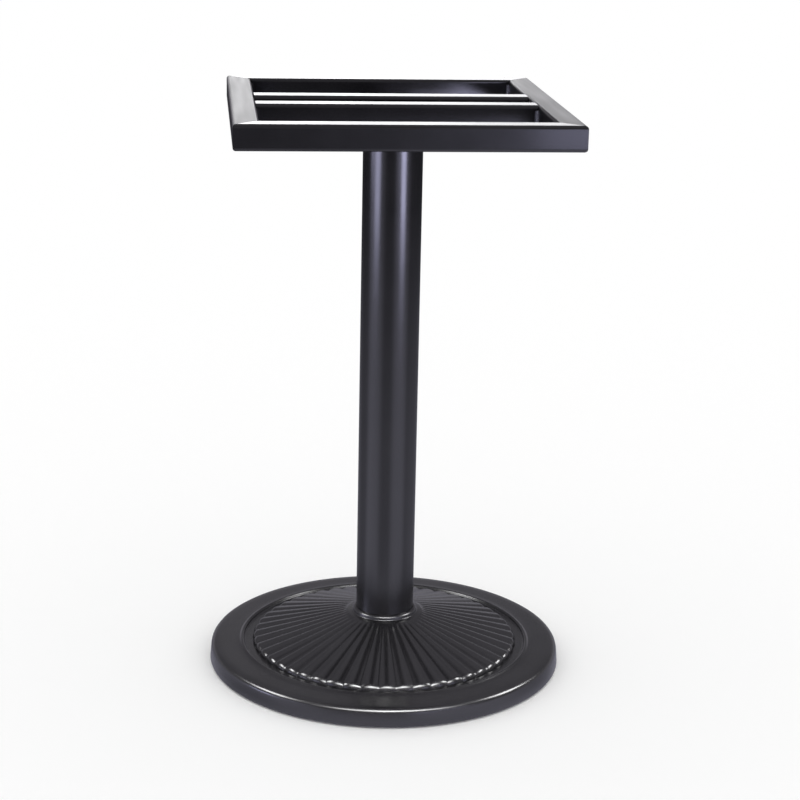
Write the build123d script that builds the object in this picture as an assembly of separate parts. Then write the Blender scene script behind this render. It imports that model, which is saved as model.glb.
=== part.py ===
"""Pedestal table base: reeded cast-iron foot, round steel column and a welded square-tube top frame.

Millimetres, +Z up, origin on the floor under the column's axis. The front looks along -Y.
"""
import os
from math import asin, cos, degrees, radians, sin, sqrt, tan

from build123d import *

# Overall
HEIGHT = 720.0              # floor to the top of the frame
GLIDE_LIFT = 2.0            # floor to the skirt's lower edge

# Top frame of square tube
FRAME_WIDTH = 394.0         # outside, left to right
FRAME_DEPTH = 430.0         # outside, front to back
TUBE = 30.0                 # outside of the square tube
TUBE_WALL = 2.0
TUBE_EDGE = 4.0             # outside radius of the tube's edges
TUBE_INNER_EDGE = 2.0       # inside radius of the tube's edges
CROSS_SPACING = 73.0        # between the centre lines of the two cross rails
WELD_LEG = 4.0              # fillet bead in an inner corner
WELD_BULGE = 0.58           # bead's middle, as a share of its leg
WELD_END = 1.0              # bead stops this far from the tube's rounded edges

# Column
COLUMN_D = 73.0
COLUMN_WALL = 2.5

# Head of the column
PLATE_WIDTH = 140.0
PLATE_DEPTH = 118.0
PLATE_T = 6.0
PLATE_CORNER = 8.0
SPIGOT_WALL = 5.0
SPIGOT_H = 14.0
SPIGOT_CLEARANCE = 0.2      # radial, spigot in the column

# Tie rod with its nuts and washers
ROD_D = 12.0
ROD_HOLE_CLEARANCE = 0.75   # radial, rod in the plate and the hub
THREAD_CLEARANCE = 0.05     # radial, rod in the nuts
WASHER_CLEARANCE = 0.5      # radial, rod in the washers
WASHER_D = 30.0
WASHER_T = 3.0
NUT_FLATS = 18.0
NUT_H = 10.0
ROD_STICK_OUT = 4.0         # rod past each nut
ROD_CHAMFER = 1.2

# Foot, outside form from the rim inwards
BASE_D = 448.0
SKIRT_H = 22.8              # skirt's lower edge to the rim
SKIRT_DRAFT = 2.0
RIM_R = 7.0
LAND_W = 28.5               # flat land between the rim and the ring
LAND_RISE = 1.2
RING_RISE = 1.8             # ring's crest over the land
RING_OUTER_FALL = 2.5       # width of the ring's outer slope
RING_CREST_W = 2.5
RING_INNER_FALL = 1.5       # width of the ring's inner slope
RING_R = 1.4                # roundings of the ring
GROOVE_W = 10.0             # floor of the groove between the ring and the reeds
GROOVE_DROP = 2.3           # groove's floor under the land
GROOVE_R = 2.0

# Foot, dome and reeds. Each reed is a wide cone with a blunt round end, its point on the column's axis,
# cut off by its neighbours in shallow valleys. The plain bed that carries the reeds lies under the valleys
REEDS = 48
REED_APEX_H = 72.3          # the cones' common point, over the skirt's lower edge
REED_SLOPE = 22.5           # degrees, the reeds' axes under the horizontal
REED_FILL = 2.31            # whole cone's width as a share of the spacing
BED_SHARE = 0.25            # depth of the bed under the crests as a share of the cone's radius
REED_END = 12.0             # length of a reed's round end
REED_END_SET = 14.3         # middle of the round end, inside the groove
SHOULDER_W = 12.0           # width of the bed's slope down to the groove, under the round ends
SHOULDER_R = 5.0            # rounding of the bed's outer edge
FLARE_OUTER_R = 58.0        # smooth hub, where it meets the bed
FLARE_INNER_R = 48.0        # smooth hub, where it turns level
FLARE_RISE = 0.6            # smooth hub over the reeds' crests, at its turn
FLARE_SLOPE = 0.13          # rise of the level part, towards the lip
FLARE_ROUND = 5.0

# Foot, lip and socket of the column
LIP_WALL = 4.3
LIP_H = 6.2                 # lip over the smooth hub
LIP_ROUND = 4.0
SOCKET_DEPTH = 14.0
SOCKET_CLEARANCE = 0.3      # radial, column in the lip

# Foot, underside
SKIRT_WALL = 7.0
DOME_WALL = 7.0
HUB_D = 92.0                # boss under the dome
HUB_FACE_H = 27.0           # floor to the boss's lower face
WEBS = 8
WEB_T = 6.0
WEB_H = 8.0                 # floor to the webs' lower edge

# Floor glides
GLIDES = 4
GLIDE_INSET = 36.5          # rim to the glides' centres
GLIDE_BOSS_WALL = 2.0       # boss past the glide's edge
GLIDE_D = 24.0
GLIDE_T = 5.0
GLIDE_EDGE = 1.5
GLIDE_STEM_D = 8.0
GLIDE_STEM_L = 9.0
GLIDE_STEM_CHAMFER = 1.0
GLIDE_CLEARANCE = 0.1       # radial, stem in its hole
GLIDE_HOLE_END = 1.0        # hole past the stem's end

# Sizes worked out from those above
RAIL_BOTTOM = HEIGHT - TUBE
PLATE_BOTTOM = RAIL_BOTTOM - PLATE_T
BASE_R = BASE_D / 2
RIM_Z = GLIDE_LIFT + SKIRT_H
LAND_Z = RIM_Z + LAND_RISE
RING_Z = LAND_Z + RING_RISE
GROOVE_Z = LAND_Z - GROOVE_DROP
RING_OUTER_R = BASE_R - SKIRT_DRAFT - RIM_R - LAND_W
RING_CREST_R = RING_OUTER_R - RING_OUTER_FALL
RING_INNER_R = RING_CREST_R - RING_CREST_W - RING_INNER_FALL
REED_REACH = RING_INNER_R - GROOVE_W
APEX_Z = GLIDE_LIFT + REED_APEX_H
REED_AXIS = radians(REED_SLOPE)
REED_HALF = REED_FILL * asin(cos(REED_AXIS) * sin(radians(180 / REEDS)))
REED_CENTRE = (REED_REACH - REED_END_SET) / cos(REED_AXIS)
REED_END_R = tan(REED_HALF) * sqrt(REED_CENTRE**2 - REED_END**2)
SOCKET_R = COLUMN_D / 2 + SOCKET_CLEARANCE
LIP_R = SOCKET_R + LIP_WALL
ROD_HOLE_R = ROD_D / 2 + ROD_HOLE_CLEARANCE
UPRIGHT = (Align.CENTER, Align.CENTER, Align.MIN)


def crest_z(r):
    """Height of the reeds' crests at a radius."""
    return APEX_Z - r * tan(REED_AXIS - REED_HALF)


def bed_z(r):
    """Height of the bed under the reeds at a radius."""
    return APEX_Z - r * tan(REED_AXIS - REED_HALF * (1 - BED_SHARE))


FLARE_Z = crest_z(FLARE_INNER_R) + FLARE_RISE
HUB_Z = FLARE_Z + FLARE_SLOPE * (FLARE_INNER_R - LIP_R)
LIP_Z = HUB_Z + LIP_H
COLUMN_BOTTOM = LIP_Z - SOCKET_DEPTH


def disc(radius, z_low, z_high):
    """Upright cylinder on the column's axis."""
    return Pos(0, 0, z_low) * Cylinder(radius, z_high - z_low, align=UPRIGHT)


def ring(outer, inner, z_low, z_high):
    """Upright tube on the column's axis."""
    return disc(outer, z_low, z_high) - disc(inner, z_low, z_high)


def turned(outline):
    """Solid turned about the Z axis from a closed outline of radius and height."""
    return revolve(Plane.XZ * make_face(outline), Axis.Z)


# Foot

def foot_outside():
    """Outside of the foot up to the lip, solid underneath, with the plain bed in place of the reeds."""
    bed_foot = REED_REACH - SHOULDER_W / 3
    shoulder = bed_foot - SHOULDER_W
    corners = [
        ((BASE_R - SKIRT_DRAFT, RIM_Z), RIM_R),
        ((RING_OUTER_R, LAND_Z), RING_R),
        ((RING_CREST_R, RING_Z), RING_R),
        ((RING_CREST_R - RING_CREST_W, RING_Z), RING_R),
        ((RING_INNER_R, GROOVE_Z), GROOVE_R),
        ((bed_foot, GROOVE_Z), GROOVE_R),
        ((shoulder, bed_z(shoulder)), SHOULDER_R),
        ((FLARE_OUTER_R, bed_z(FLARE_OUTER_R)), FLARE_ROUND),
        ((FLARE_INNER_R, FLARE_Z), FLARE_ROUND),
        ((LIP_R, HUB_Z), RING_R),
        ((LIP_R, LIP_Z), LIP_ROUND),
    ]
    skirt_foot = (BASE_R, GLIDE_LIFT)
    lip_middle = (0, LIP_Z)
    points = [skirt_foot] + [point for point, _ in corners] + [lip_middle]
    outline = FilletPolyline(*points, radius=[radius for _, radius in corners])
    return turned(outline + Polyline(lip_middle, (0, GLIDE_LIFT), skirt_foot))


def reed():
    """One reed: a cone with a round end, lying along +X and sloping down, cut to its share of the circle."""
    start = FLARE_INNER_R
    touch = 90 + degrees(asin(REED_END / REED_CENTRE))
    end = EllipticalCenterArc((REED_CENTRE, 0), REED_END, REED_END_R, arc_size=touch)
    side = Polyline(end @ 1, (start, start * tan(REED_HALF)), (start, 0), end @ 0)
    bar = revolve(make_face(end + side), Axis.X)
    half_share = BASE_R * tan(radians(180 / REEDS))
    plan = Polyline((0, 0), (BASE_R, -half_share), (BASE_R, half_share), close=True)
    share = Pos(0, 0, RIM_Z / 2) * extrude(make_face(plan), APEX_Z)
    return Pos(0, 0, APEX_Z) * Rot(0, REED_SLOPE, 0) * bar & share


def glide_places():
    """Floor points of the glides, between the front, side and rear directions."""
    circle_r = BASE_R - GLIDE_INSET
    turns = [360 / GLIDES * (i + 0.5) for i in range(GLIDES)]
    return [Rot(0, 0, turn) * Pos(circle_r, 0, 0) for turn in turns]


def foot_hollow():
    """Room under the foot, less the hub, the webs and the glide bosses."""
    hub_r = HUB_D / 2
    wall_r = BASE_R - SKIRT_DRAFT - SKIRT_WALL
    outline = Polyline(
        (0, HUB_FACE_H),
        (hub_r, HUB_FACE_H),
        (hub_r, bed_z(hub_r) - DOME_WALL),
        (REED_REACH, GROOVE_Z - DOME_WALL),
        (wall_r, RIM_Z - DOME_WALL),
        (wall_r, 0),
        (0, 0),
        close=True,
    )
    web = Box(BASE_R, WEB_T, HEIGHT, align=(Align.MIN, Align.CENTER, Align.MIN))
    webs = [Rot(0, 0, 360 / WEBS * i) * Pos(0, 0, WEB_H) * web for i in range(WEBS)]
    under_hub = disc(hub_r, 0, HUB_FACE_H)
    boss = Cylinder(GLIDE_D / 2 + GLIDE_BOSS_WALL, HEIGHT, align=UPRIGHT)
    bosses = [place * Pos(0, 0, GLIDE_T) * boss for place in glide_places()]
    return turned(outline) - webs - bosses + under_hub


def base_casting():
    """The whole foot: outside with reeds, hollow underside, socket, rod hole and glide holes."""
    reeds = [Rot(0, 0, 360 / REEDS * (i + 0.5)) * reed() for i in range(REEDS)]
    hole_end = GLIDE_T + GLIDE_STEM_L + GLIDE_HOLE_END
    hole = Cylinder(GLIDE_STEM_D / 2 + GLIDE_CLEARANCE, hole_end, align=UPRIGHT)
    holes = [place * hole for place in glide_places()]
    socket = disc(SOCKET_R, COLUMN_BOTTOM, LIP_Z)
    rod_hole = disc(ROD_HOLE_R, 0, LIP_Z)
    solid = foot_outside() + reeds
    return solid - foot_hollow() - [socket, rod_hole] - holes


def glide():
    """Moulded floor glide: a pad with a chamfered edge and a stem, on the floor at the origin."""
    stem_r = GLIDE_STEM_D / 2
    top = GLIDE_T + GLIDE_STEM_L
    outline = Polyline(
        (0, 0),
        (GLIDE_D / 2 - GLIDE_EDGE, 0),
        (GLIDE_D / 2, GLIDE_EDGE),
        (GLIDE_D / 2, GLIDE_T),
        (stem_r, GLIDE_T),
        (stem_r, top - GLIDE_STEM_CHAMFER),
        (stem_r - GLIDE_STEM_CHAMFER, top),
        (0, top),
        close=True,
    )
    return turned(outline)


# Column and clamping rod

def column_tube():
    """Round column from the socket's floor to the head plate."""
    outer = COLUMN_D / 2
    return ring(outer, outer - COLUMN_WALL, COLUMN_BOTTOM, PLATE_BOTTOM)


def head_plate():
    """Plate under the cross rails, with the rod's hole."""
    outline = RectangleRounded(PLATE_WIDTH, PLATE_DEPTH, PLATE_CORNER) - Circle(ROD_HOLE_R)
    return Pos(0, 0, PLATE_BOTTOM) * extrude(outline, PLATE_T)


def head_spigot():
    """Ring under the head plate that centres the column."""
    outer = COLUMN_D / 2 - COLUMN_WALL - SPIGOT_CLEARANCE
    return ring(outer, outer - SPIGOT_WALL, PLATE_BOTTOM - SPIGOT_H, PLATE_BOTTOM)


def washer(z_low):
    """Flat washer of the tie rod."""
    return ring(WASHER_D / 2, ROD_D / 2 + WASHER_CLEARANCE, z_low, z_low + WASHER_T)


def nut(z_low):
    """Hexagon nut with both ends chamfered round."""
    corner_r = NUT_FLATS / 2 / cos(radians(30))
    edge = (corner_r - NUT_FLATS / 2) * tan(radians(30))
    prism = extrude(RegularPolygon(corner_r, 6) - Circle(ROD_D / 2 + THREAD_CLEARANCE), NUT_H)
    outline = Polyline(
        (0, 0),
        (NUT_FLATS / 2, 0),
        (corner_r, edge),
        (corner_r, NUT_H - edge),
        (NUT_FLATS / 2, NUT_H),
        (0, NUT_H),
        close=True,
    )
    return Pos(0, 0, z_low) * (prism & turned(outline))


def tie_rod():
    """Rod from under the bottom nut to over the top nut, chamfered at both ends."""
    low = HUB_FACE_H - WASHER_T - NUT_H - ROD_STICK_OUT
    high = RAIL_BOTTOM + WASHER_T + NUT_H + ROD_STICK_OUT
    rod = disc(ROD_D / 2, low, high)
    return chamfer(rod.edges().filter_by(GeomType.CIRCLE), ROD_CHAMFER)


# Top frame

def square_tube(length):
    """Square tube along X, its middle at the origin."""
    bore = TUBE - 2 * TUBE_WALL
    section = RectangleRounded(TUBE, TUBE, TUBE_EDGE) - RectangleRounded(bore, bore, TUBE_INNER_EDGE)
    return extrude(Plane.YZ * section, length / 2, both=True)


def mitred_rail(length):
    """Frame rail along X with its outer side on -Y and both ends cut at 45 degrees."""
    half = length / 2
    plan = Polyline(
        (-half, -TUBE / 2),
        (half, -TUBE / 2),
        (half - TUBE, TUBE / 2),
        (TUBE - half, TUBE / 2),
        close=True,
    )
    return square_tube(length) & extrude(make_face(plan), TUBE / 2, both=True)


def frame_rails():
    """The four mitred rails, by node name."""
    level = HEIGHT - TUBE / 2
    to_front = (FRAME_DEPTH - TUBE) / 2
    to_side = (FRAME_WIDTH - TUBE) / 2
    across = mitred_rail(FRAME_WIDTH)
    along = mitred_rail(FRAME_DEPTH)
    return {
        "front_rail": Pos(0, -to_front, level) * across,
        "rear_rail": Pos(0, to_front, level) * Rot(0, 0, 180) * across,
        "left_rail": Pos(-to_side, 0, level) * Rot(0, 0, -90) * along,
        "right_rail": Pos(to_side, 0, level) * Rot(0, 0, 90) * along,
    }


def cross_rail(y):
    """Tube between the side rails, square cut."""
    return Pos(0, y, HEIGHT - TUBE / 2) * square_tube(FRAME_WIDTH - 2 * TUBE)


def weld_bead(x, y, x_way, y_way):
    """Upright fillet bead in a corner, with its legs along the two given ways."""
    low = RAIL_BOTTOM + TUBE_EDGE + WELD_END
    length = TUBE - 2 * (TUBE_EDGE + WELD_END)
    middle = WELD_LEG * WELD_BULGE
    legs = Polyline((0, y_way * WELD_LEG), (0, 0), (x_way * WELD_LEG, 0))
    face = ThreePointArc(legs @ 1, (x_way * middle, y_way * middle), legs @ 0)
    return Pos(x, y, low) * extrude(make_face(legs + face), length, dir=(0, 0, 1))


def frame_welds():
    """Beads in the four mitred corners and on both sides of every cross rail's end."""
    beads = []
    for side in (-1, 1):
        x = side * (FRAME_WIDTH / 2 - TUBE)
        for end in (-1, 1):
            beads.append(weld_bead(x, end * (FRAME_DEPTH / 2 - TUBE), -side, -end))
            for face in (-1, 1):
                y = end * CROSS_SPACING / 2 + face * TUBE / 2
                beads.append(weld_bead(x, y, -side, face))
    return Compound(children=beads)


def all_parts():
    """Every solid of the table base, by node name."""
    parts = {
        "base_casting": base_casting(),
        "column_tube": column_tube(),
        "head_plate": head_plate(),
        "head_spigot": head_spigot(),
        "tie_rod": tie_rod(),
        "top_washer": washer(RAIL_BOTTOM),
        "top_nut": nut(RAIL_BOTTOM + WASHER_T),
        "bottom_washer": washer(HUB_FACE_H - WASHER_T),
        "bottom_nut": nut(HUB_FACE_H - WASHER_T - NUT_H),
        "front_cross_rail": cross_rail(-CROSS_SPACING / 2),
        "rear_cross_rail": cross_rail(CROSS_SPACING / 2),
        "frame_welds": frame_welds(),
    }
    parts.update(frame_rails())
    for number, place in enumerate(glide_places(), 1):
        parts[f"glide_{number}"] = place * glide()
    return parts


os.makedirs("parts", exist_ok=True)
for name, shape in all_parts().items():
    export_step(shape, f"parts/{name}.step")
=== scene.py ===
"""Pedestal table base: a reeded cast foot, a round column and a welded top frame, dressed for rendering.

Metres, +Z up, origin on the floor under the column's axis. The front looks along -Y.
"""
from math import asin, cos, pi, radians, sin, sqrt, tan

import bpy
import numpy as np
from bpy.props import FloatProperty, FloatVectorProperty, IntProperty, PointerProperty
from mathutils import Matrix, Vector


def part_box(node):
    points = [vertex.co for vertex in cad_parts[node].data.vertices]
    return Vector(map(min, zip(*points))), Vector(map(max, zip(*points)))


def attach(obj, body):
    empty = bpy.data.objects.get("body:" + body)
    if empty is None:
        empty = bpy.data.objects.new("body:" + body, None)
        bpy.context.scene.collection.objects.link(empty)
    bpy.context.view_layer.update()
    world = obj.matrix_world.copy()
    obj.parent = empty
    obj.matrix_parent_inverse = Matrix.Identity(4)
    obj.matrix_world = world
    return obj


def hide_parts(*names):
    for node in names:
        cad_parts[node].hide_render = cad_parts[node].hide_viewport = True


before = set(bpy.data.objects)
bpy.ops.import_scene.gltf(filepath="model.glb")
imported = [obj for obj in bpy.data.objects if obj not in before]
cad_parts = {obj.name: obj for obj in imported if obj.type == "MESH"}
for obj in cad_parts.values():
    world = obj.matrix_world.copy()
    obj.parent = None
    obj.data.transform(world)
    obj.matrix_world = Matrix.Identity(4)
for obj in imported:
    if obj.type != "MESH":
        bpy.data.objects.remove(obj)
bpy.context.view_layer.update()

bl_info = {
    "name": "Pedestal Table Base",
    "version": (1, 0, 0),
    "blender": (4, 5, 0),
    "location": "3D View > Sidebar > Table Base",
    "description": "Builds a reeded cast foot, a round column and a welded top frame",
    "category": "Object",
}

MM = 0.001
BODY = "root"
SHARP_EDGE = radians(38)
HAIR = 1e-6
FRAME_RAILS = {"front_rail": 0, "right_rail": 90, "rear_rail": 180, "left_rail": 270}
SIDE_RAILS = ("right_rail", "left_rail")
CROSS_RAILS = ("front_cross_rail", "rear_cross_rail")
GLIDE_NODES = ("glide_1", "glide_2", "glide_3", "glide_4")
# Points along a rounding. The casting's number is odd, so that each rounding has a middle
CAST_ARC = 5
TUBE_ARC = 9
RING_ARC = 4
GLIDE_ARC = 6
# Points round a turned piece
COLUMN_POINTS = 160
SPIGOT_POINTS = 96
NUT_POINTS = 72
WASHER_POINTS = 72
BOSS_POINTS = 48
GLIDE_POINTS = 48
ROD_POINTS = 36
# Rows to each turn of the thread, and rows and points of a weld bead
THREAD_ROWS = 8
BEAD_ROWS = 81
BEAD_POINTS = 13


def linear(code):
    """Linear red, green and blue of an sRGB hex colour."""
    srgb = np.array([int(code[i:i + 2], 16) for i in (1, 3, 5)]) / 255
    return tuple(np.where(srgb <= 0.04045, srgb / 12.92, ((srgb + 0.055) / 1.055) ** 2.4))


def length(name, default, description):
    """Length property with its default in millimetres."""
    return FloatProperty(
        name=name, description=description, default=default * MM, min=0.0, precision=5, unit="LENGTH"
    )


def share(name, default, description):
    """Property that is a share of something else."""
    return FloatProperty(
        name=name, description=description, default=default, min=0.0, soft_max=1.0, subtype="FACTOR"
    )


def angle(name, default, description):
    """Angle property with its default in degrees."""
    return FloatProperty(name=name, description=description, default=radians(default), subtype="ANGLE")


def colour(name, code, description):
    """Colour property with its default as an sRGB hex colour."""
    return FloatVectorProperty(
        name=name, description=description, default=linear(code), min=0.0, max=1.0, subtype="COLOR"
    )


class FootShape(bpy.types.PropertyGroup):
    """Sizes of the cast foot."""

    skirt_height: length("Skirt height", 22.8, "Skirt's lower edge to the rim")
    skirt_draft: length("Skirt draft", 2.0, "How far the skirt leans in")
    rim_round: length("Rim rounding", 7.0, "Rounding between the skirt and the land")
    land_width: length("Land width", 28.5, "Flat band between the rim and the ring")
    land_rise: length("Land rise", 1.2, "Rise of the land towards the ring")
    ring_rise: length("Ring rise", 1.8, "Ring's crest over the land")
    ring_outer: length("Ring outer slope", 2.5, "Width of the ring's outer slope")
    ring_crest: length("Ring crest", 2.5, "Width of the ring's crest")
    ring_inner: length("Ring inner slope", 1.5, "Width of the ring's inner slope")
    ring_round: length("Ring rounding", 1.4, "Roundings of the ring and of the lip's foot")
    groove_width: length("Groove width", 10.0, "Floor of the groove between the ring and the reeds")
    groove_drop: length("Groove drop", 2.3, "Groove's floor under the land")
    groove_round: length("Groove rounding", 2.0, "Roundings of the groove")
    reeds: IntProperty(name="Reeds", description="Reeds round the dome", default=48, min=12)
    reed_steps: IntProperty(name="Reed steps", description="Grid steps across a reed", default=12, min=6)
    apex_height: length("Apex height", 72.3, "The reeds' common point over the skirt's lower edge")
    reed_slope: angle("Reed slope", 22.5, "The reeds' axes under the horizontal")
    reed_fill: share("Reed fill", 2.31, "Whole reed's width as a share of the spacing")
    valley_round: length("Valley rounding", 0.4, "Softness of the lines where the reeds meet")
    bed_share: share("Bed depth", 0.25, "Plain bed under the reeds' crests, as a share of a reed's radius")
    reed_end: length("Reed end", 12.0, "Length of a reed's round end")
    end_set: length("Reed end set", 14.3, "Middle of the round end, inside the groove")
    shoulder_width: length("Shoulder width", 12.0, "Width of the bed's slope down to the groove")
    shoulder_round: length("Shoulder rounding", 5.0, "Rounding of the bed's outer edge")
    flare_outer: length("Flare outer radius", 58.0, "Smooth hub, where it meets the bed")
    flare_inner: length("Flare inner radius", 48.0, "Smooth hub, where it turns level")
    flare_rise: length("Flare rise", 0.6, "Smooth hub over the reeds at its turn")
    flare_round: length("Flare rounding", 5.0, "Roundings of the smooth hub")
    lip_wall: length("Lip wall", 4.3, "Wall of the lip round the column")
    lip_height: length("Lip height", 6.2, "Lip over the smooth hub")
    lip_round: length("Lip rounding", 4.0, "Rounding of the lip's outer edge")
    socket_depth: length("Socket depth", 14.0, "Depth of the column's socket")
    socket_gap: length("Socket gap", 0.3, "Column to the socket's wall")
    wall: length("Wall", 7.0, "Wall of the skirt and the dome")
    hub_radius: length("Hub radius", 46.0, "Boss under the dome")
    hub_face: length("Hub face", 27.0, "Floor to the boss's lower face")
    rod_hole: length("Rod hole", 6.75, "Radius of the tie rod's hole")
    cast_round: length("Cast rounding", 1.0, "Roundings of the underside")
    webs: IntProperty(name="Webs", description="Webs under the dome", default=8, min=1)
    web_wall: length("Web wall", 6.0, "Thickness of a web")
    web_height: length("Web height", 8.0, "Floor to the webs' lower edge")
    draft: length("Draft", 2.0, "Width over which a web's side slopes")
    boss_radius: length("Boss radius", 14.0, "Boss round a glide's stem")
    station: length("Dome spacing", 4.5, "Widest spacing of the grid's rows on the dome")
    end_station: length("End spacing", 1.0, "Widest spacing of the rows under the reeds' ends")
    plain_station: length("Plain spacing", 8.0, "Widest spacing of the rows everywhere else")
    small_arc: length("Small arc", 1.7, "Roundings that are narrower get three points")


class TubeShape(bpy.types.PropertyGroup):
    """Sizes of the tubes and of the head of the column."""

    edge: length("Tube edge", 4.0, "Outside radius of the square tube's edges")
    inner_edge: length("Tube inner edge", 2.0, "Inside radius of the square tube's edges")
    wall: length("Tube wall", 2.0, "Wall of the square tube")
    joint_break: length("Joint edge", 0.35, "Edge break at a tube's end, which leaves a joint's fine line")
    column_wall: length("Column wall", 2.5, "Wall of the round column")
    column_edge: length("Column edge", 0.5, "Rounding of the column's ends")
    plate_corner: length("Plate corner", 8.0, "Corner radius of the head plate")
    plate_edge: length("Plate edge", 0.6, "Rounding of the head plate's edges")
    rod_hole: length("Rod hole", 6.75, "Radius of the tie rod's hole in the head plate")
    spigot_wall: length("Spigot wall", 5.0, "Wall of the ring that centres the column")
    weld_leg: length("Weld leg", 4.0, "Legs of a bead in its corner")
    weld_bulge: share("Weld bulge", 0.58, "Bead's middle as a share of its leg")
    ripple_pitch: length("Ripple pitch", 1.9, "Spacing of the bead's ripples")
    ripple_depth: length("Ripple depth", 0.3, "Height of the bead's ripples")


class FastenerShape(bpy.types.PropertyGroup):
    """Sizes of the tie rod, its nuts and washers, and the floor glides."""

    thread_pitch: length("Thread pitch", 1.75, "Pitch of the tie rod's thread")
    thread_depth: length("Thread depth", 1.07, "Depth of the tie rod's thread")
    thread_length: length("Thread length", 60.0, "Threaded stretch at each end of the rod")
    rod_chamfer: length("Rod chamfer", 1.2, "Chamfer of the rod's ends")
    nut_flats: length("Nut flats", 18.0, "Width of a nut across its flats")
    nut_bore: length("Nut bore", 6.05, "Radius of a nut's bore")
    washer_bore: length("Washer bore", 6.5, "Radius of a washer's bore")
    washer_edge: length("Washer edge", 0.4, "Rounding of a washer's edges")
    glide_pad: length("Glide pad", 5.0, "Thickness of a glide's pad")
    glide_edge: length("Glide edge", 1.5, "Rounding of a glide's lower edge")
    stem_radius: length("Stem radius", 4.0, "Radius of a glide's stem")
    stem_edge: length("Stem edge", 1.0, "Rounding of a glide's stem")


class Finish(bpy.types.PropertyGroup):
    """Colours of the finishes."""

    coat: colour("Powder coat", "#111013", "Satin black powder coat on the steel")
    casting: colour("Coat on casting", "#19181b", "The same coat on the casting, where the grit dulls it")
    zinc: colour("Zinc", "#c3c6c8", "Zinc plating of the rod, nuts and washers")
    nylon: colour("Nylon", "#141416", "Black nylon of the glides")
    paper: colour("Paper", "#ffffff", "Floor and background")


class StageSettings(bpy.types.PropertyGroup):
    """Camera and light of the studio."""

    eye: FloatVectorProperty(
        name="Camera place", description="Place of the camera", default=(-0.23413, -2.41115, 1.04422),
        subtype="TRANSLATION", unit="LENGTH",
    )
    pitch: angle("Camera pitch", 16.12, "How far the camera looks down")
    yaw: angle("Camera yaw", 5.89, "How far the camera turns to the right")
    roll: angle("Camera roll", 1.17, "How far the camera rolls")
    lens: FloatProperty(
        name="Lens", description="Focal length on a 36 mm sensor", default=90.68, unit="CAMERA"
    )
    floor_size: length("Floor size", 40000.0, "Side of the floor")
    room: share("Mirrored room", 0.27, "Level of the room, as the coat mirrors it")
    horizon: share("Mirrored horizon", 0.62, "Level of the room low down, as the coat mirrors it")
    ceiling: share("Mirrored ceiling", 0.3, "Level that the room's ceiling adds, as the coat mirrors it")


# Softboxes: the point that each faces, its turn to the right of -Y and its rise from there in degrees, its
# distance, width and height in metres, and its brightness, where white is 1. A grid holds the light in a
# cone of that many degrees
COOL = "#dadaff"
WHITE = "#ffffff"
COLUMN_LIGHT = {"aim": (0.0, 0.0, 1.235), "rise": -10, "away": 1.845, "tint": COOL, "grid": 55}
LOW_LIGHT = {"aim": (0.0, 0.0, 0.36), "rise": -2, "tint": COOL}
SIDE_LIGHT = {"rise": 40, "away": 0.8, "size": (0.4, 0.25), "level": 32.0, "tint": WHITE, "grid": 70}
SOFTBOXES = (
    {"name": "left_softbox", "turn": -63, "size": (0.75, 1.4), "level": 11.5, **COLUMN_LIGHT},
    {"name": "right_softbox", "turn": 38, "size": (0.6, 1.4), "level": 18.0, **COLUMN_LIGHT},
    {"name": "far_softbox", "turn": 19, "away": 5.2, "size": (1.3, 0.8), "level": 5.0, **LOW_LIGHT},
    {
        "name": "rail_softbox", "aim": (0.34, -0.2, 0.665), "turn": 0, "rise": 0, "away": 0.3,
        "size": (0.3, 0.05), "level": 2.4, "tint": COOL,
    },
    {"name": "low_softbox", "turn": -85, "away": 5.0, "size": (1.6, 0.8), "level": 12.0, **LOW_LIGHT},
    {
        "name": "foot_softbox", "aim": (0.0, -0.2, 0.03), "turn": 0, "rise": 44, "away": 0.65,
        "size": (1.7, 0.2), "level": 50.0, "tint": WHITE, "grid": 76,
    },
    {"name": "left_foot_softbox", "aim": (-0.14, -0.1, 0.03), "turn": -90, **SIDE_LIGHT},
    {"name": "right_foot_softbox", "aim": (0.14, -0.1, 0.03), "turn": 90, **SIDE_LIGHT},
    {
        "name": "back_softbox", "aim": (0.0, 0.0, 0.72), "turn": 178, "rise": 7.7, "away": 2.0,
        "size": (1.9, 0.5), "level": 4.4, "tint": WHITE, "grid": 30,
    },
)
# The room as the coat mirrors it: the heights, with 1 straight up, over which the horizon gives way to the
# room and the ceiling comes in
ROOM_TINT = "#f7f4ff"
HORIZON_SPAN = (0.15, 0.33)
CEILING_SPAN = (0.45, 0.8)
# The floor as the coat mirrors it, painted light in place of lamp light: its levels, with white at 1,
# between two distances from the column
PAINTED_FLOOR_TINT = "#ecebff"
PAINTED_FLOOR_FADE = (0.4, 3.6)
PAINTED_FLOOR_LEVELS = (0.8, 0.13)
# Painted pools of light on it: turn to the right of -Y in degrees, and level. Then the cosines of the turn
# off a pool's own, at its edge and where it is full, and the distances over which the pools begin
PAINTED_POOLS = ((-62, 0.8), (37, 0.8))
PAINTED_POOL_EDGE = (0.8, 0.99)
PAINTED_POOL_START = (0.22, 0.4)
# Painted glow close in front of the foot: the distances over which it ends, and its levels from beside the
# foot to in front of it. A span of turn is given in shares of the way along Y, with -1 in front
PAINTED_GLOW_FADE = (0.27, 0.4)
PAINTED_GLOW_SPAN = (-0.4, -0.95)
PAINTED_GLOW_LEVELS = (-0.3, 0.6)
# Painted light: the whole floor is brighter in front than behind: span of turn, and factors
PAINTED_FRONT_SPAN = (0.8, -0.2)
PAINTED_FRONT_FACTORS = (0.42, 1.0)
# Setting of a Map Range node that eases in and out
EASED = {"interpolation_type": "SMOOTHSTEP"}


# Grids of points

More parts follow.
